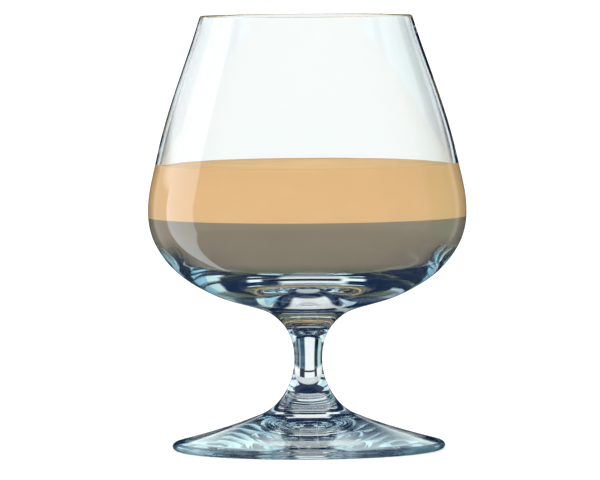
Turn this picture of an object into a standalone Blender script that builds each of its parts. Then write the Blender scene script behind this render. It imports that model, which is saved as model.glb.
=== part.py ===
"""A two-layer cream cocktail served in a short-stemmed balloon glass.

Metres, Z up. The glass stands on Z = 0 with its axis on the Z axis.
"""
import math

import bmesh
import bpy
from mathutils import Vector
from mathutils.geometry import interpolate_bezier

MM = 0.001

# Driving dimensions of the glass
HEIGHT = 128.0 * MM
FOOT_RADIUS = 40.2 * MM
FOOT_EDGE_THICKNESS = 2.4 * MM
STEM_RADIUS = 4.15 * MM
STEM_WAIST_HEIGHT = 27.0 * MM
BELLY_RADIUS = 46.95 * MM
BELLY_HEIGHT = 70.4 * MM
RIM_RADIUS = 31.4 * MM
RIM_WALL = 1.2 * MM
BELLY_WALL = 1.5 * MM
BOWL_FLOOR_HEIGHT = 52.2 * MM
FLOOR_RADIUS = 26.0 * MM
FLOOR_RISE = 0.5 * MM
INNER_BELLY_HEIGHT = 72.0 * MM

# Underside of the foot: a flat standing ring round a shallow dome
STANDING_RING_INNER = 34.5 * MM
STANDING_RING_OUTER = 38.6 * MM
DOME_HEIGHT = 5.2 * MM

# Levels of the drink
LAYER_LINE = 68.8 * MM
DRINK_LEVEL = 83.9 * MM

# Clearance between touching pieces, and half of it on either side of the layer line
GAP = 0.3 * MM
HALF_GAP = GAP / 2

# Fineness of the turned shapes, and how full their curves are
SIDES = 64
STRETCH_POINTS = 4
LIP_POINTS = 5
EDGE_POINTS = 5
EDGE_SWEEP = 70
HANDLE = 0.36
MERGE_DISTANCE = 0.01 * MM
SHARP_ANGLE = math.radians(40)

# Surfaces
POLISHED_ROUGHNESS = 0.02
LIQUID_ROUGHNESS = 0.3


def clear_scene():
    for thing in list(bpy.data.objects):
        bpy.data.objects.remove(thing, do_unlink=True)


def smooth_outline(stations):
    """Points through stations of (radius, height, heading), headings in degrees above outwards."""
    points = []
    for (r0, z0, turn0), (r1, z1, turn1) in zip(stations, stations[1:]):
        start = Vector((r0, z0, 0))
        end = Vector((r1, z1, 0))
        reach = HANDLE * (end - start).length
        out_of = Vector((math.cos(math.radians(turn0)), math.sin(math.radians(turn0)), 0))
        into = Vector((math.cos(math.radians(turn1)), math.sin(math.radians(turn1)), 0))
        stretch = interpolate_bezier(start, start + reach * out_of, end - reach * into, end, STRETCH_POINTS)
        points += [(point.x, point.y) for point in stretch[bool(points):]]
    return points


def arc(centre_r, centre_z, radius, first, last, count):
    """Points on an arc, angles in degrees above outwards."""
    angles = [math.radians(first + (last - first) * i / (count - 1)) for i in range(count)]
    return [(centre_r + radius * math.cos(a), centre_z + radius * math.sin(a)) for a in angles]


def outer_outline():
    """Top of the foot, stem and outside of the bowl, from the foot's edge up to the lip."""
    foot_edge = (FOOT_RADIUS - FOOT_EDGE_THICKNESS / 2, FOOT_EDGE_THICKNESS, 165)
    foot_slope = (14.3 * MM, 10.3 * MM, 158)
    stem_flare = (6.85 * MM, 17.0 * MM, 121)
    stem_waist = (STEM_RADIUS, STEM_WAIST_HEIGHT, 90)
    neck = (9.05 * MM, 38.65 * MM, 41)
    bowl_root = (13.4 * MM, 41.25 * MM, 18)
    bowl_base = (27.9 * MM, 45.9 * MM, 25)
    bowl_turn = (43.35 * MM, 58.2 * MM, 57)
    belly = (BELLY_RADIUS, BELLY_HEIGHT, 90)
    shoulder = (44.35 * MM, 86.0 * MM, 102)
    lip = (RIM_RADIUS, HEIGHT - RIM_WALL / 2, 107)
    return smooth_outline([foot_edge, foot_slope, stem_flare, stem_waist, neck, bowl_root,
                           bowl_base, bowl_turn, belly, shoulder, lip])


def inner_outline():
    """Inside of the bowl, from the middle of its nearly flat floor up to the lip."""
    floor_middle = (0, BOWL_FLOOR_HEIGHT, 0)
    floor_edge = (FLOOR_RADIUS, BOWL_FLOOR_HEIGHT + FLOOR_RISE, 5)
    floor_turn = (37.6 * MM, 57.6 * MM, 45)
    belly = (BELLY_RADIUS - BELLY_WALL, INNER_BELLY_HEIGHT, 90)
    shoulder = (42.95 * MM, 86.0 * MM, 102)
    lip = (RIM_RADIUS - RIM_WALL, HEIGHT - RIM_WALL / 2, 107)
    return smooth_outline([floor_middle, floor_edge, floor_turn, belly, shoulder, lip])


def underside_outline():
    """Dome and standing ring under the foot, from the axis out to the rounded edge."""
    dome = (0, DOME_HEIGHT, 0)
    dome_side = (14.0 * MM, 4.6 * MM, -10)
    ring = (STANDING_RING_INNER, 0, -12)
    edge_radius = FOOT_EDGE_THICKNESS / 2
    edge = arc(FOOT_RADIUS - edge_radius, edge_radius, edge_radius, -EDGE_SWEEP, EDGE_SWEEP, EDGE_POINTS)
    return smooth_outline([dome, dome_side, ring]) + [(STANDING_RING_OUTER, 0)] + edge


def glass_outline():
    lip = arc(RIM_RADIUS - RIM_WALL / 2, HEIGHT - RIM_WALL / 2, RIM_WALL / 2, 0, 180, LIP_POINTS)
    inside = inner_outline()[:-1]
    return underside_outline() + outer_outline()[:-1] + lip + inside[::-1]


def drink_wall():
    """Underside and side of the drink: the inside of the bowl, drawn in by the clearance."""
    wall = inner_outline()
    drawn_in = [(0, BOWL_FLOOR_HEIGHT + GAP)]
    for before, (radius, height), after in zip(wall, wall[1:], wall[2:]):
        along = Vector((after[0] - before[0], after[1] - before[1])).normalized()
        drawn_in.append((radius - GAP * along.y, height + GAP * along.x))
    return drawn_in


def wall_at(height):
    """Where the drink's wall reaches a height."""
    wall = drink_wall()
    for (r0, z0), (r1, z1) in zip(wall, wall[1:]):
        if z0 <= height <= z1:
            return (r0 + (r1 - r0) * (height - z0) / (z1 - z0), height)


def lower_layer_outline():
    top = LAYER_LINE - HALF_GAP
    return [point for point in drink_wall() if point[1] < top] + [wall_at(top), (0, top)]


def upper_layer_outline():
    bottom = LAYER_LINE + HALF_GAP
    side = [point for point in drink_wall() if bottom < point[1] < DRINK_LEVEL]
    return [(0, bottom), wall_at(bottom)] + side + [wall_at(DRINK_LEVEL), (0, DRINK_LEVEL)]


def linear(channel):
    """One channel of an sRGB colour, 0 to 255, as linear light."""
    value = channel / 255
    return value / 12.92 if value <= 0.04045 else ((value + 0.055) / 1.055) ** 2.4


def make_material(name, colour, roughness, transmission=0.0):
    material = bpy.data.materials.new(name)
    material.use_nodes = True
    shader = material.node_tree.nodes["Principled BSDF"]
    shader.inputs["Base Color"].default_value = (*(linear(channel) for channel in colour), 1)
    shader.inputs["Roughness"].default_value = roughness
    shader.inputs["Metallic"].default_value = 0.0
    shader.inputs["Transmission Weight"].default_value = transmission
    return material


def clear_glass():
    return make_material("clear soda lime glass", (236, 246, 246), POLISHED_ROUGHNESS, transmission=1.0)


def coffee_cream():
    return make_material("grey brown coffee liqueur cream", (135, 128, 112), LIQUID_ROUGHNESS)


def tan_cream():
    return make_material("tan cream liqueur", (227, 186, 134), LIQUID_ROUGHNESS)


def turned(name, outline, material):
    """A closed solid spun from an outline that starts and ends on the axis."""
    work = bmesh.new()
    corners = [work.verts.new((radius, 0, height)) for radius, height in outline]
    edges = [work.edges.new(pair) for pair in zip(corners, corners[1:])]
    bmesh.ops.spin(work, geom=corners + edges, cent=(0, 0, 0), axis=(0, 0, 1),
                   angle=math.tau, steps=SIDES, use_merge=True)
    bmesh.ops.remove_doubles(work, verts=work.verts, dist=MERGE_DISTANCE)
    bmesh.ops.recalc_face_normals(work, faces=work.faces)
    mesh = bpy.data.meshes.new(name)
    work.to_mesh(mesh)
    work.free()
    mesh.shade_smooth()
    mesh.set_sharp_from_angle(angle=SHARP_ANGLE)
    mesh.materials.append(material)
    piece = bpy.data.objects.new(name, mesh)
    bpy.context.scene.collection.objects.link(piece)
    return piece


def glass():
    """Bowl, stem and foot in one solid."""
    return turned("glass", glass_outline(), clear_glass())


def layer_lower():
    """The grey brown layer, on the bowl's floor."""
    return turned("layer_lower", lower_layer_outline(), coffee_cream())


def layer_upper():
    """The tan layer, up to the drink's level."""
    return turned("layer_upper", upper_layer_outline(), tan_cream())


def build():
    clear_scene()
    glass()
    layer_lower()
    layer_upper()


build()
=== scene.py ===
"""A two-layer cream cocktail in a short-stemmed balloon glass, dressed for its picture.

Metres, Z up, in the frame's own place: the glass stands on Z = 0 with its axis on the Z axis.
"""
import math

import bpy
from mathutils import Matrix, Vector


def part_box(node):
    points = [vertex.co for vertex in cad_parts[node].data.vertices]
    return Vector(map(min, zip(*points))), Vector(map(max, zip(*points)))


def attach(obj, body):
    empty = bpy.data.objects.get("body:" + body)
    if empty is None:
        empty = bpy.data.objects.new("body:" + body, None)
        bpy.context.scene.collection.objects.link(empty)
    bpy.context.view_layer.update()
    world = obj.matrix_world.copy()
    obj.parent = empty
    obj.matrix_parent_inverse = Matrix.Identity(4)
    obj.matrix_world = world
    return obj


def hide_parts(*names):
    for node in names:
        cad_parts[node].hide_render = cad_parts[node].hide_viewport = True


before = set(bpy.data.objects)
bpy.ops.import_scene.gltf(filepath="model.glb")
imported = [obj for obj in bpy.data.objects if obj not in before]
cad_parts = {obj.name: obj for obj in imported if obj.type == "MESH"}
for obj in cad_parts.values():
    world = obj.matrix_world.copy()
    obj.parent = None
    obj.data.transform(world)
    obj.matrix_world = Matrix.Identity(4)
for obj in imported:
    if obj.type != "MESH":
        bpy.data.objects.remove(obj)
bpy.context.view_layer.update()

MM = 0.001

# The glass as (radius, height, heading): millimetres, and degrees above outwards
STANDING_RING = [(0, 5.2, 0), (14.0, 4.6, -10), (33.8, 0.15, -12), (35.2, 0.0, 0), (38.6, 0.0, 0)]
FOOT_EDGE = [(40.2, 1.2, 90), (39.0, 2.4, 165)]
FOOT_AND_STEM = [(14.3, 10.3, 158), (6.85, 17.0, 121), (4.15, 27.0, 90), (9.05, 38.65, 41)]
BOWL_OUTSIDE = [(13.4, 41.25, 18), (27.9, 45.9, 25), (43.35, 58.2, 57), (46.95, 70.4, 90),
                (44.35, 86.0, 102), (31.4, 127.4, 107)]
RIM_TOP = [(30.8, 128.0, 180)]
BOWL_INSIDE = [(30.2, 127.4, 287), (42.95, 86.0, 282), (45.45, 72.0, 270), (37.6, 57.6, 225),
               (26.0, 52.7, 185), (0, 52.2, 180)]

# Levels of the drink, from the frame's two layers
LAYER_LINE = (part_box("layer_lower")[1].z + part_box("layer_upper")[0].z) / 2
DRINK_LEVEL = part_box("layer_upper")[1].z

# How far the drink reaches into the wall, so that no air shows between
INTO_WALL = 0.1 * MM

# How the drink's edge climbs the wall, and the rings of faces it takes, as shares of its width
MENISCUS_RISE = 0.35 * MM
MENISCUS_WIDTH = 1.3 * MM
MENISCUS_RINGS = (0.2, 0.3, 0.5)

# Fineness of the turned pieces, and how full their curves are
TURN_STEPS = 180
POINTS_EACH_STRETCH = 12
HANDLE = 0.36
MERGE_DISTANCE = 0.002 * MM
SHARP_ANGLE = math.radians(50)

# What counts as level and as facing up
LEVEL_TOLERANCE = 0.01 * MM
LEVEL_NORMAL = 0.99
UPWARD_NORMAL = 0.5

# Soda lime glass, with the slight ripple that pressing leaves
GLASS_IOR = 1.52
GLASS_DEPTH_COLOUR = "#B8F6FA"
GLASS_DEPTH_DENSITY = 4.0
RIPPLE_LENGTH = 18.0 * MM
RIPPLE_DEPTH = 0.06 * MM

# The drink's own look: faint swirls, and painted shade, darker and greener, low down near the bowl's floor
LIQUID_ROUGHNESS = 0.35
SWIRL_WIDTH = 11.1 * MM
SWIRL_STARTS = 0.35
SWIRL_FULL = 0.75
SWIRL_STRENGTH = 0.35
PAINTED_SHADE_BOTTOM = 55.5 * MM
PAINTED_SHADE_TOP = 58.0 * MM

# The drink's open surface: pale mottling under a thin shine
MOTTLE_WIDTH = 9.0 * MM
MOTTLE_STARTS = 0.40
MOTTLE_FULL = 0.72
MOTTLE_STRENGTH = 0.5
TOP_SHINE = 0.05
TOP_SHINE_ROUGHNESS = 0.12

# How the drink mirrors light inside the glass. The first ratio is that of cream to glass. The second, nearly
# that of air to glass, holds low on the bowl's side: it keeps clear crescents beside the drink, in the base.
# On the bowl's level floor the drink mirrors all light. Just under its open surface the mirror fades out.
CREAM_IN_GLASS_IOR = 0.88
CLEAR_FLANK_IOR = 0.69
FLANK_LOW = 58.0 * MM
FLANK_HIGH = 65.0 * MM
CLEAR_FLOOR_LOW = 52.7 * MM
CLEAR_FLOOR_HIGH = 53.0 * MM
MIRROR_FADES_UNDER_TOP = 0.3 * MM
MIRROR_ENDS_UNDER_TOP = 0.1 * MM

# The Mix node's colour sockets, by number, since they share their names with others
SHARE = 0
FIRST_COLOUR = 6
SECOND_COLOUR = 7
MIXED_COLOUR = 2

# The floor
FLOOR_RADIUS = 12.0
FLOOR_SIDES = 96

# The camera: a long lens in front of the glass, a little above its rim, with a slight roll
LENS_LENGTH = 420.0
NEAR_LIMIT = 0.1
CAMERA_PLACE = Vector((-0.0022, -2.06, 0.163))
CAMERA_AIM = Vector((-0.0022, 0.0, 0.0618))
CAMERA_ROLL = math.radians(-0.4)

# How often light may bounce, since it goes round and round inside thick glass
MOST_BOUNCES = 64
MOST_GLASS_BOUNCES = 48

# The studio is made of soft-edged panels: (light, azimuths, elevations, softness of the edges), in degrees.
# Azimuth 0 is straight behind the glass, and azimuths grow to the right.
# A later panel covers an earlier one. The comment after a panel says where the camera sees it in the glass.
ALL_ROUND = (-360, 360)
UP_AND_DOWN = (-120, 120)
WHITE = (1.0, 1.0, 1.0)
BLACK_CARD = (0.01, 0.02, 0.04)

# Seen in light that the glass or the drink turned back. Half a turn on, the side panels come again.
DEEP_BLUE = (0.006, 0.02, 0.065)
SIDE_PANELS = [
    ((0.85, 1.05, 1.05), (46, 60), (-55, 4), 2),        # left of the base and of the foot
    ((0.42, 0.78, 1.0), (60, 86), (-20, 4), 2),         # crescents at the base's two ends
    ((0.6, 0.85, 0.95), (60, 86), (-55, -20), 2),       # underneath, left of the neck
    ((0.72, 0.92, 1.02), (-60, -47), (-55, -15), 2),    # right of the foot
    ((0.72, 0.92, 1.02), (-84, -60), (-55, -14), 2),    # right of the neck and of the foot
]

# Seen in the same light, each at its one place
DARK_ROOM = (0.006, 0.014, 0.034)
BACK_PANELS = [
    (WHITE, (-17, 12), (-22, 22), 2),                   # white patch in the middle of the base
    ((1.1, 1.2, 1.2), (-25, 27), (-4, 8), 1.5),         # ends of the bars under the drink
    (DARK_ROOM, (-14, 20), (-5, 7), 1.5),               # dark between those ends
    ((0.9, 1.0, 1.0), (-22, 22), (22, 28), 2),          # fine pale lines in the neck and the foot
    ((0.5, 0.56, 0.58), (-22, 22), (-45, -33), 2),      # bars under the drink, rings down the foot
    ((0.62, 0.80, 0.95), (125, 400), (-20, 6), 2),      # outer edges of the base and the foot
]

# Seen straight through thick glass. Half a turn on, these come again.
STRAIGHT_PANELS = [
    ((0.03, 0.10, 0.15), (6, 26), (-30, 30), 4),        # teal beside the stem's window
    ((0.24, 0.36, 0.48), (23, 31), (-30, 30), 1.5),     # blue grey line at the stem's left
    ((0.92, 1.0, 1.0), (-17.5, 9), (-30, 30), 2),       # white window in the stem
    ((0.50, 0.72, 0.72), (-50, -31), (-30, 30), 2),     # sea green line at the stem's right
    ((0.92, 1.0, 1.0), (79, 120), (-30, 30), 2),        # none in front: white from the sides
    ((0.92, 1.0, 1.0), (-120, -79), (-30, 30), 2),      # none in front: white from the sides
    ((0.95, 1.0, 1.0), ALL_ROUND, (-120, -14), 3),      # window's lower end, and the ring under it
    (BLACK_CARD, (10, 26), (-30, -13), 1.5),            # dark at that end's left
    (BLACK_CARD, (-26, -17.5), (-30, -13), 1.5),        # dark at its right
    (BLACK_CARD, (-18, 12), (-18, -15.5), 0.7),         # dark line across it
]

# Seen through the bowl's two thin walls: white, faintly tinted
CLEAR_WALLS = (1.012, 1.085, 1.09)
THIN_GLASS_CROSSINGS = 3.5
STEEPEST_THROUGH_THIN = 18.0

# Seen mirrored in the skin of the glass
PALE_WALL = (0.60, 0.62, 0.58)
MIRRORED_PANELS = [
    ((0.12, 0.34, 0.22), (44, 80), UP_AND_DOWN, 4),     # dull band down the bowl's right
    (BLACK_CARD, ALL_ROUND, (-120, -18), 6),            # lower belly
    (BLACK_CARD, (-31, 36), (-120, 60), 4),             # outlines
    ((2.4, 2.7, 3.0), (-89, -57), (-57, 60), 1),        # strip light down the bowl's left
    ((1.8, 2.15, 2.1), (-7, 7), (12, 41), 2),           # glow on the foot
    ((2.4, 2.5, 2.5), (-58, -27), (8, 20), 2),          # inside the clear bowl's left edge
    ((1.3, 1.5, 1.5), (29, 42), (8, 20), 2),            # inside its right edge
]

# A card that leans, and so cuts the strip light's lower end to a point
LEANING_CARD = (BLACK_CARD, (-130, -89), (-120, -18), 1)
CARD_LEAN = 32.0
CARD_LEANS_FROM = -20.0
CARD_LEANS_TO = -57.0

# What lights the drink: soft white, dimmer from above and below, dim and green from behind on the right
SOFT_LIGHT = (2.2, 2.2, 2.2)
SOFT_PANELS = [
    ((1.05, 1.05, 1.05), ALL_ROUND, (40, 120), 20),
    ((1.7, 1.7, 1.6), ALL_ROUND, (-120, -35), 20),
    ((0.85, 1.2, 0.9), (15, 88), (-30, 40), 6),
]

# Ray depths are whole numbers, so below this limit is never, and above it once or more
ONCE = 0.5


def linear(code):
    """An sRGB hex colour as linear light."""
    channels = [int(code[i:i + 2], 16) / 255 for i in (1, 3, 5)]
    return [c / 12.92 if c <= 0.04045 else ((c + 0.055) / 1.055) ** 2.4 for c in channels] + [1.0]


def add(tree, kind, inputs=None, **settings):
    """Adds one node, with its settings, and sets or links its inputs."""
    node = tree.nodes.new(kind)
    for name, value in settings.items():
        setattr(node, name, value)
    for name, value in (inputs or {}).items():
        if isinstance(value, bpy.types.NodeSocket):
            tree.links.new(value, node.inputs[name])
        else:
            node.inputs[name].default_value = value
    return node


def deselect_all():
    bpy.ops.object.select_all(action="DESELECT")


def draw_outline(name, stations):
    """Draws a Bezier line through stations, in the XZ plane, and makes it a mesh line."""
    deselect_all()
    bpy.ops.curve.primitive_bezier_curve_add(location=(0, 0, 0))
    line = bpy.context.object
    line.name = name
    line.data.resolution_u = POINTS_EACH_STRETCH
    spline = line.data.splines[0]
    spline.bezier_points.add(len(stations) - len(spline.bezier_points))
    places = [Vector((radius * MM, 0, height * MM)) for radius, height, heading in stations]
    for i, (point, place) in enumerate(zip(spline.bezier_points, places)):
        heading = math.radians(stations[i][2])
        ahead = Vector((math.cos(heading), 0, math.sin(heading)))
        before = places[max(i - 1, 0)]
        after = places[min(i + 1, len(places) - 1)]
        point.handle_left_type = "FREE"
        point.handle_right_type = "FREE"
        point.co = place
        point.handle_left = place - HANDLE * (place - before).length * ahead
        point.handle_right = place + HANDLE * (after - place).length * ahead
    bpy.ops.object.convert(target="MESH")
    return bpy.context.object


def turn(piece):
    """Spins a drawn line right round the vertical axis, with its seam and poles closed."""
    bpy.ops.object.mode_set(mode="EDIT")
    bpy.ops.mesh.select_all(action="SELECT")
    bpy.ops.mesh.spin(steps=TURN_STEPS, angle=math.tau, center=(0, 0, 0), axis=(0, 0, 1),
                      use_auto_merge=True)
    bpy.ops.mesh.select_all(action="SELECT")
    bpy.ops.mesh.remove_doubles(threshold=MERGE_DISTANCE)
    bpy.ops.mesh.normals_make_consistent(inside=False)
    bpy.ops.object.mode_set(mode="OBJECT")
    bpy.ops.object.shade_smooth()
    return piece


def cut_level(piece, height, keep):
    """Cuts a piece level at a height, keeps what is above or below, and closes the cut."""
    deselect_all()
    piece.select_set(True)
    bpy.context.view_layer.objects.active = piece
    bpy.ops.object.mode_set(mode="EDIT")
    bpy.ops.mesh.select_all(action="SELECT")
    bpy.ops.mesh.bisect(plane_co=(0, 0, height), plane_no=(0, 0, 1), use_fill=True,
                        clear_inner=keep == "above", clear_outer=keep == "below")
    bpy.ops.mesh.select_all(action="DESELECT")
    bpy.ops.object.mode_set(mode="OBJECT")


def model_glass():
    """Bowl, stem and foot, one solid."""
    stations = STANDING_RING + FOOT_EDGE + FOOT_AND_STEM + BOWL_OUTSIDE + RIM_TOP + BOWL_INSIDE
    piece = turn(draw_outline("balloon_glass", stations))
    piece.data.materials.append(clear_glass())
    return piece


def drink_skin(name):
    """Floor and side of all the drink, a little way into the glass, open above its level."""
    reach = INTO_WALL / MM
    wall = []
    for radius, height, heading in reversed(BOWL_INSIDE[1:]):
        upward = heading - 180
        outwards = reach * math.sin(math.radians(upward)) if radius else 0
        downwards = reach * math.cos(math.radians(upward))
        wall.append((radius + outwards, height - downwards, upward))
    return turn(draw_outline(name, wall))


def select_level_faces(piece, height):
    """Selects the level faces at a height, and leaves the piece in edit mode."""
    bpy.ops.object.mode_set(mode="EDIT")
    bpy.ops.mesh.select_mode(type="FACE")
    bpy.ops.mesh.select_all(action="DESELECT")
    bpy.ops.object.mode_set(mode="OBJECT")
    for face in piece.data.polygons:
        face.select = abs(face.center.z - height) < LEVEL_TOLERANCE and abs(face.normal.z) > LEVEL_NORMAL
    bpy.ops.object.mode_set(mode="EDIT")


def raise_meniscus(piece):
    """Lets the surface climb the wall a little at its edge."""
    select_level_faces(piece, DRINK_LEVEL)
    for share in MENISCUS_RINGS:
        bpy.ops.mesh.inset(thickness=MENISCUS_WIDTH * share, depth=0)
    bpy.ops.object.mode_set(mode="OBJECT")
    surface = [v for v in piece.data.vertices if v.co.z > DRINK_LEVEL - LEVEL_TOLERANCE]
    edge = max(math.hypot(v.co.x, v.co.y) for v in surface)
    for vertex in surface:
        inwards = edge - math.hypot(vertex.co.x, vertex.co.y)
        vertex.co.z += MENISCUS_RISE * max(0.0, 1 - inwards / MENISCUS_WIDTH) ** 2


def model_lower_layer():
    """The grey brown layer, from the bowl's floor to the line between the layers."""
    layer = drink_skin("coffee_cream_layer")
    cut_level(layer, LAYER_LINE, "below")
    layer.data.materials.append(coffee_cream())
    bpy.ops.object.shade_smooth_by_angle(angle=SHARP_ANGLE)
    return layer


def model_upper_layer():
    """The tan layer, from the line between the layers to the drink's level, with an open surface."""
    layer = drink_skin("tan_cream_layer")
    cut_level(layer, LAYER_LINE, "above")
    cut_level(layer, DRINK_LEVEL, "below")
    raise_meniscus(layer)
    layer.data.materials.append(tan_cream())
    layer.data.materials.append(open_surface())
    for face in layer.data.polygons:
        on_top = face.center.z > DRINK_LEVEL - LEVEL_TOLERANCE and face.normal.z > UPWARD_NORMAL
        face.material_index = int(on_top)
    bpy.ops.object.shade_smooth_by_angle(angle=SHARP_ANGLE)
    return layer


def fresh_material(name):
    material = bpy.data.materials.new(name)
    material.use_nodes = True
    material.node_tree.nodes.clear()
    return material, material.node_tree


def clear_glass():
    """Pressed and fire polished: colourless where thin, blue green where thick, faintly rippled."""
    material, tree = fresh_material("clear soda lime glass, fire polished")
    place = add(tree, "ShaderNodeTexCoord").outputs["Object"]
    ripple = add(tree, "ShaderNodeTexNoise", {
        "Vector": place, "Scale": 1 / RIPPLE_LENGTH, "Detail": 1.0})
    bump = add(tree, "ShaderNodeBump", {
        "Height": ripple.outputs[0], "Distance": RIPPLE_DEPTH, "Strength": 1.0})
    surface = add(tree, "ShaderNodeBsdfPrincipled", {
        "Base Color": linear("#FFFFFF"), "Roughness": 0.0, "IOR": GLASS_IOR, "Transmission Weight": 1.0,
        "Normal": bump.outputs[0]})
    tint = add(tree, "ShaderNodeVolumeAbsorption", {
        "Color": linear(GLASS_DEPTH_COLOUR), "Density": GLASS_DEPTH_DENSITY})
    add(tree, "ShaderNodeOutputMaterial", {"Surface": surface.outputs["BSDF"], "Volume": tint.outputs[0]})
    return material


def swirled_colour(tree, place, height, colour, swirl_colour, painted_shade_colour):
    """The drink's colour, with faint swirls of another tone, and painted shade in a darker colour low down.
    """
    swirl = add(tree, "ShaderNodeTexNoise", {
        "Vector": place, "Scale": 1 / SWIRL_WIDTH, "Detail": 2.0, "Distortion": 0.6})
    swirled = add(tree, "ShaderNodeMapRange", {
        "Value": swirl.outputs[0], "From Min": SWIRL_STARTS, "From Max": SWIRL_FULL,
        "To Min": 0.0, "To Max": SWIRL_STRENGTH})
    shade = add(tree, "ShaderNodeMix", {
        SHARE: swirled.outputs[0], FIRST_COLOUR: linear(colour), SECOND_COLOUR: linear(swirl_colour)},
        data_type="RGBA")
    # Painted shade: low down, the colour turns to the darker, greener one
    low = add(tree, "ShaderNodeMapRange", {
        "Value": height, "From Min": PAINTED_SHADE_BOTTOM, "From Max": PAINTED_SHADE_TOP, "To Min": 1.0, "To Max": 0.0},
        interpolation_type="SMOOTHSTEP")
    shade = add(tree, "ShaderNodeMix", {
        SHARE: low.outputs[0], FIRST_COLOUR: shade.outputs[MIXED_COLOUR],
        SECOND_COLOUR: linear(painted_shade_colour)}, data_type="RGBA")
    return shade.outputs[MIXED_COLOUR]


def mirrored_share(tree, height):
    """How much of the light inside the glass the drink's floor and side turn back."""
    touching = add(tree, "ShaderNodeFresnel", {"IOR": CREAM_IN_GLASS_IOR})
    clear = add(tree, "ShaderNodeFresnel", {"IOR": CLEAR_FLANK_IOR})
    flank = add(tree, "ShaderNodeMapRange", {
        "Value": height, "From Min": FLANK_LOW, "From Max": FLANK_HIGH, "To Min": 1.0, "To Max": 0.0},
        interpolation_type="SMOOTHSTEP")
    clear = add(tree, "ShaderNodeMath", {0: clear.outputs[0], 1: flank.outputs[0]}, operation="MULTIPLY")
    share = add(tree, "ShaderNodeMath", {0: touching.outputs[0], 1: clear.outputs[0]}, operation="MAXIMUM")
    floor = add(tree, "ShaderNodeMapRange", {
        "Value": height, "From Min": CLEAR_FLOOR_LOW, "From Max": CLEAR_FLOOR_HIGH,
        "To Min": 1.0, "To Max": 0.0})
    share = add(tree, "ShaderNodeMath", {0: share.outputs[0], 1: floor.outputs[0]}, operation="MAXIMUM")
    under_top = add(tree, "ShaderNodeMapRange", {
        "Value": height, "From Min": DRINK_LEVEL - MIRROR_FADES_UNDER_TOP,
        "From Max": DRINK_LEVEL - MIRROR_ENDS_UNDER_TOP, "To Min": 1.0, "To Max": 0.0})
    share = add(tree, "ShaderNodeMath", {0: share.outputs[0], 1: under_top.outputs[0]}, operation="MULTIPLY")
    return share.outputs[0]


def milky_liquid(name, colour, swirl_colour, painted_shade_colour):
    """An opaque cream drink against glass: smooth and even, and a mirror to light that comes aslant."""
    material, tree = fresh_material(name)
    place = add(tree, "ShaderNodeTexCoord").outputs["Object"]
    height = add(tree, "ShaderNodeSeparateXYZ", {0: place}).outputs["Z"]
    body = add(tree, "ShaderNodeBsdfPrincipled", {
        "Base Color": swirled_colour(tree, place, height, colour, swirl_colour, painted_shade_colour),
        "Roughness": LIQUID_ROUGHNESS, "Specular IOR Level": 0.0})
    mirror = add(tree, "ShaderNodeBsdfGlossy", {"Color": linear("#FFFFFF"), "Roughness": 0.0})
    wet = add(tree, "ShaderNodeMixShader", {
        0: mirrored_share(tree, height), 1: body.outputs[0], 2: mirror.outputs[0]})
    add(tree, "ShaderNodeOutputMaterial", {"Surface": wet.outputs[0]})
    return material


def coffee_cream():
    """Coffee liqueur stirred with cream: a soft grey brown, with painted shade that makes it greener and
    darker near the bowl's floor.
    """
    return milky_liquid("coffee liqueur and cream, grey brown", "#8D8374", "#867C6D", "#6D705F")


def tan_cream():
    """Cream liqueur floated on it: a warm, even tan, with no painted shade."""
    return milky_liquid("cream liqueur, tan", "#E3BC88", "#DFB680", "#E3BC88")


def open_surface():
    """The top of the drink, where cream fat rises: soft pale mottling under a thin wet shine."""
    material, tree = fresh_material("cream liqueur, tan, surface open to the air")
    place = add(tree, "ShaderNodeTexCoord").outputs["Object"]
    mottle = add(tree, "ShaderNodeTexNoise", {
        "Vector": place, "Scale": 1 / MOTTLE_WIDTH, "Detail": 3.0, "Distortion": 0.5})
    pale = add(tree, "ShaderNodeMapRange", {
        "Value": mottle.outputs[0], "From Min": MOTTLE_STARTS, "From Max": MOTTLE_FULL,
        "To Min": 0.0, "To Max": MOTTLE_STRENGTH})
    shade = add(tree, "ShaderNodeMix", {
        SHARE: pale.outputs[0], FIRST_COLOUR: linear("#E6BB84"), SECOND_COLOUR: linear("#EFCB9B")},
        data_type="RGBA")
    body = add(tree, "ShaderNodeBsdfPrincipled", {
        "Base Color": shade.outputs[MIXED_COLOUR], "Roughness": LIQUID_ROUGHNESS,
        "Specular IOR Level": 0.0})
    shine = add(tree, "ShaderNodeBsdfGlossy", {
        "Color": linear("#FFFFFF"), "Roughness": TOP_SHINE_ROUGHNESS})
    wet = add(tree, "ShaderNodeMixShader", {0: TOP_SHINE, 1: body.outputs[0], 2: shine.outputs[0]})
    add(tree, "ShaderNodeOutputMaterial", {"Surface": wet.outputs[0]})
    return material


def pale_floor():
    """Matt white paint, without shine."""
    material, tree = fresh_material("matt white studio floor")
    surface = add(tree, "ShaderNodeBsdfPrincipled", {
        "Base Color": linear("#F9F9F9"), "Roughness": 1.0, "Specular IOR Level": 0.0})
    add(tree, "ShaderNodeOutputMaterial", {"Surface": surface.outputs["BSDF"]})
    return material


def lay_floor():
    """A plain floor that the camera sees and the glass doesn't, since the panels light the glass."""
    deselect_all()
    bpy.ops.mesh.primitive_circle_add(vertices=FLOOR_SIDES, radius=FLOOR_RADIUS, fill_type="NGON",
                                      location=(0, 0, 0))
    floor = bpy.context.object
    floor.name = "studio_floor"
    floor.data.materials.append(pale_floor())
    floor.visible_glossy = False
    floor.visible_transmission = False
    floor.visible_diffuse = False


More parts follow.
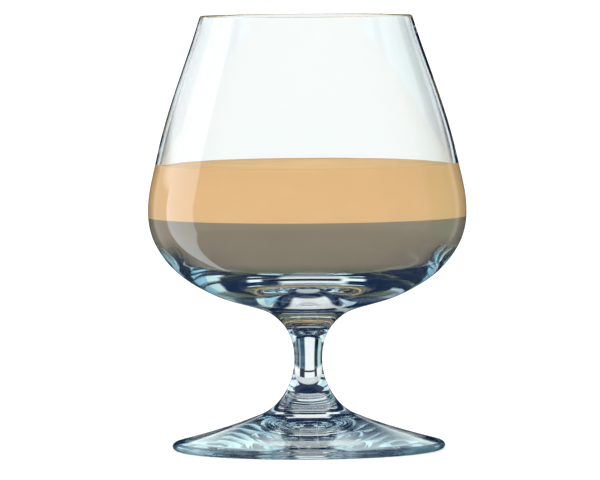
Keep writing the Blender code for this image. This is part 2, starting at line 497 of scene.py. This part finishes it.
def hang_panels(tree, ground, panels, azimuth, elevation):
    """Lays soft-edged panels over a ground, by the direction a ray leaves in."""
    colour = ground
    for light, around, upward, soft in panels:
        cover = 1.0
        for angle, (low, high) in ((azimuth, around), (elevation, upward)):
            rise = add(tree, "ShaderNodeMapRange", {
                "Value": angle, "From Min": low - soft, "From Max": low + soft,
                "To Min": 0.0, "To Max": 1.0}, interpolation_type="SMOOTHSTEP")
            fall = add(tree, "ShaderNodeMapRange", {
                "Value": angle, "From Min": high - soft, "From Max": high + soft,
                "To Min": 1.0, "To Max": 0.0}, interpolation_type="SMOOTHSTEP")
            for edge in (rise, fall):
                cover = add(tree, "ShaderNodeMath", {0: cover, 1: edge.outputs[0]},
                            operation="MULTIPLY").outputs[0]
        hung = add(tree, "ShaderNodeMix", {SHARE: cover, FIRST_COLOUR: colour, SECOND_COLOUR: (*light, 1)},
                   data_type="RGBA")
        colour = hung.outputs[MIXED_COLOUR]
    return colour


def ray_direction(tree):
    """Azimuth and elevation of a ray that leaves the scene, in degrees."""
    direction = add(tree, "ShaderNodeTexCoord").outputs["Generated"]
    x, y, z = add(tree, "ShaderNodeSeparateXYZ", {0: direction}).outputs
    around = add(tree, "ShaderNodeMath", {0: x, 1: y}, operation="ARCTAN2")
    azimuth = add(tree, "ShaderNodeMath", {0: around.outputs[0]}, operation="DEGREES").outputs[0]
    raised = add(tree, "ShaderNodeMath", {0: z}, operation="ARCSINE")
    elevation = add(tree, "ShaderNodeMath", {0: raised.outputs[0]}, operation="DEGREES").outputs[0]
    return azimuth, elevation


def seen_through_glass(tree, azimuth, elevation, path):
    """What a ray sees once it has left the glass, by how it came through."""
    half = add(tree, "ShaderNodeMath", {0: azimuth, 1: -90.0, 2: 90.0}, operation="WRAP").outputs[0]
    turned = hang_panels(tree, (*DEEP_BLUE, 1), SIDE_PANELS, half, elevation)
    turned = hang_panels(tree, turned, BACK_PANELS, azimuth, elevation)
    straight = hang_panels(tree, (*DARK_ROOM, 1), STRAIGHT_PANELS, half, elevation)
    unturned = add(tree, "ShaderNodeMath", {0: path["Glossy Depth"], 1: ONCE},
                   operation="LESS_THAN").outputs[0]
    crossed = add(tree, "ShaderNodeMath", {0: path["Transmission Depth"], 1: THIN_GLASS_CROSSINGS},
                  operation="GREATER_THAN").outputs[0]
    level = add(tree, "ShaderNodeMath", {0: elevation, 1: STEEPEST_THROUGH_THIN},
                operation="LESS_THAN").outputs[0]
    thin = add(tree, "ShaderNodeMath", {0: unturned, 1: crossed}, operation="MULTIPLY").outputs[0]
    thin = add(tree, "ShaderNodeMath", {0: thin, 1: level}, operation="MULTIPLY").outputs[0]
    seen = add(tree, "ShaderNodeMix", {SHARE: unturned, FIRST_COLOUR: turned, SECOND_COLOUR: straight},
               data_type="RGBA").outputs[MIXED_COLOUR]
    seen = add(tree, "ShaderNodeMix", {SHARE: thin, FIRST_COLOUR: seen, SECOND_COLOUR: (*CLEAR_WALLS, 1)},
               data_type="RGBA").outputs[MIXED_COLOUR]
    return seen


def seen_mirrored(tree, azimuth, elevation):
    """What the skin of the glass mirrors, with the strip light cut off aslant."""
    seen = hang_panels(tree, (*PALE_WALL, 1), MIRRORED_PANELS, azimuth, elevation)
    lean = add(tree, "ShaderNodeMapRange", {
        "Value": elevation, "From Min": CARD_LEANS_TO, "From Max": CARD_LEANS_FROM,
        "To Min": CARD_LEAN, "To Max": 0.0}).outputs[0]
    leaning = add(tree, "ShaderNodeMath", {0: azimuth, 1: lean}, operation="SUBTRACT").outputs[0]
    return hang_panels(tree, seen, [LEANING_CARD], leaning, elevation)


def light_studio():
    """Soft white light from all round, with the panels that clear glass needs to be seen."""
    world = bpy.data.worlds.new("soft white studio")
    bpy.context.scene.world = world
    world.use_nodes = True
    tree = world.node_tree
    tree.nodes.clear()
    azimuth, elevation = ray_direction(tree)
    path = add(tree, "ShaderNodeLightPath").outputs
    mirrored = seen_mirrored(tree, azimuth, elevation)
    through = seen_through_glass(tree, azimuth, elevation, path)
    colour = hang_panels(tree, (*SOFT_LIGHT, 1), SOFT_PANELS, azimuth, elevation)
    direct = add(tree, "ShaderNodeMath", {0: path["Diffuse Depth"], 1: ONCE},
                 operation="LESS_THAN").outputs[0]
    for kind, seen in (("Is Reflection Ray", mirrored), ("Is Transmission Ray", through)):
        share = add(tree, "ShaderNodeMath", {0: path[kind], 1: direct}, operation="MULTIPLY").outputs[0]
        colour = add(tree, "ShaderNodeMix", {SHARE: share, FIRST_COLOUR: colour, SECOND_COLOUR: seen},
                     data_type="RGBA").outputs[MIXED_COLOUR]
    colour = add(tree, "ShaderNodeMix", {
        SHARE: path["Is Camera Ray"], FIRST_COLOUR: colour, SECOND_COLOUR: (*WHITE, 1)},
        data_type="RGBA").outputs[MIXED_COLOUR]
    light = add(tree, "ShaderNodeBackground", {"Color": colour, "Strength": 1.0})
    add(tree, "ShaderNodeOutputWorld", {"Surface": light.outputs[0]})


def set_camera():
    """A camera in front of the glass, aimed a little below the middle of its height."""
    lens = bpy.data.cameras.new("long_lens")
    lens.lens = LENS_LENGTH
    lens.clip_start = NEAR_LIMIT
    camera = bpy.data.objects.new("long_lens", lens)
    bpy.context.scene.collection.objects.link(camera)
    camera.location = CAMERA_PLACE
    camera.rotation_euler = (CAMERA_AIM - CAMERA_PLACE).to_track_quat("-Z", "Y").to_euler()
    camera.rotation_euler.rotate_axis("Z", CAMERA_ROLL)
    bpy.context.scene.camera = camera


def set_light_paths():
    """Lets light go round inside thick glass until it leaves, and keeps whites white."""
    cycles = bpy.context.scene.cycles
    cycles.max_bounces = MOST_BOUNCES
    cycles.transmission_bounces = MOST_GLASS_BOUNCES
    cycles.glossy_bounces = MOST_GLASS_BOUNCES
    bpy.context.scene.view_settings.view_transform = "Standard"


# Each piece, the frame's node that it stands for, and the frame's slot for its finish, which nothing here
# reads
PIECES = [
    (model_glass, "glass", "clear_glass"),
    (model_lower_layer, "layer_lower", "drink_grey_brown"),
    (model_upper_layer, "layer_upper", "drink_tan"),
]

for model, node, slot in PIECES:
    piece = model()
    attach(piece, "root")
    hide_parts(node)

lay_floor()
light_studio()
set_camera()
set_light_paths()
